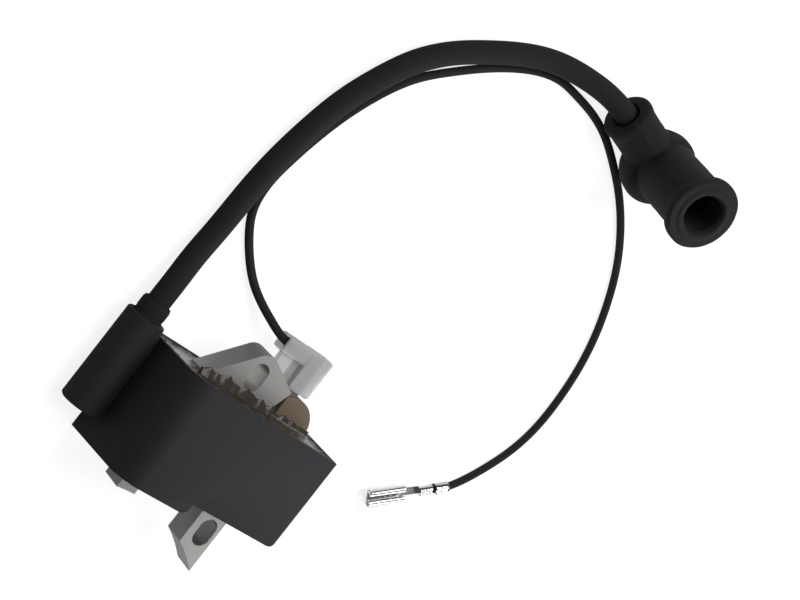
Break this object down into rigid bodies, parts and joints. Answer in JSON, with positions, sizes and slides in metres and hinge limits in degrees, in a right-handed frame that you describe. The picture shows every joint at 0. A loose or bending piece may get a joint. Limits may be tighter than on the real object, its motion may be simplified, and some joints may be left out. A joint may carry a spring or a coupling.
{
  "type": "ignition coil",
  "caption": "Potted ignition coil with a laminated core on slotted mounting ears, a high-tension lead with a rubber elbow boot, and a thin stop wire with push-on terminals.",
  "frame": {"origin": "bottom centre of the coil's box, without the lead, the stop wire and what is on them", "axes": "+Z is the stacking direction of the core's laminations, +Y is the way the high-tension lead leaves, away from the flywheel, and +X runs along the case away from the lead's tower"},
  "size_m": [0.1462, 0.1787, 0.0392],
  "materials": {
    "case_black": "black glass-filled nylon with a satin moulded surface",
    "resin": "dark amber potting resin, glossy, with a ragged edge",
    "lamination_steel": "stamped silicon steel sheets, dull grey, with a thin clear varnish",
    "rivet_steel": "plain steel",
    "varnished_steel": "steel laminations under brown varnish",
    "bobbin_nylon": "natural nylon",
    "copper_wire": "enamelled copper wire",
    "fine_wire": "fine enamelled copper wire",
    "circuit_board": "green solder mask",
    "component_black": "moulded epoxy package",
    "component_body": "dipped component coating",
    "brass": "plain brass",
    "tin_plate": "tin-plated brass",
    "spring_steel": "drawn spring wire",
    "rubber": "black moulded rubber with a dull bloom",
    "lead_jacket": "black extruded cable jacket, slightly shiny",
    "clear_vinyl": "milky clear soft vinyl"
  },
  "bodies": {
    "module": {"housing": "case_black", "potting_resin": "resin", "core_stack": "lamination_steel", "core_rivet_1": "rivet_steel", "core_rivet_2": "rivet_steel", "yoke_keeper": "varnished_steel", "primary_bobbin": "bobbin_nylon", "primary_winding": "copper_wire", "secondary_bobbin": "bobbin_nylon", "secondary_winding_1": "fine_wire", "secondary_winding_2": "fine_wire", "secondary_winding_3": "fine_wire", "secondary_winding_4": "fine_wire", "secondary_winding_5": "fine_wire", "control_board": "circuit_board", "power_transistor": "component_black", "trigger_transistor": "component_black", "timing_capacitor": "component_body", "board_resistor_1": "component_body", "board_resistor_2": "component_body", "earth_strap": "tin_plate", "stop_tab": "tin_plate", "ht_contact_pin": "brass", "ht_link_wire": "brass", "lead_grommet": "rubber", "ht_lead": "lead_jacket", "flag_receptacle": "tin_plate", "flag_sleeve": "clear_vinyl", "stop_wire": "lead_jacket", "free_receptacle": "tin_plate"},
    "boot": {"spark_plug_boot": "rubber", "boot_contact_spring": "spring_steel"},
    "terminal_cover": {"free_sleeve": "clear_vinyl"}
  },
  "joints": [
    {"name": "boot_swivel", "type": "hinge", "parent": "module", "child": "boot", "pos_m": [0.0768, 0.1368, 0.009], "axis": [0.9848, -0.1736, 0], "range_deg": [-55, 5]},
    {"name": "terminal_cover_slide", "type": "slide", "parent": "module", "child": "terminal_cover", "axis": [0.8202, 0.5721, 0], "range_m": [0, 0.01]}
  ]
}
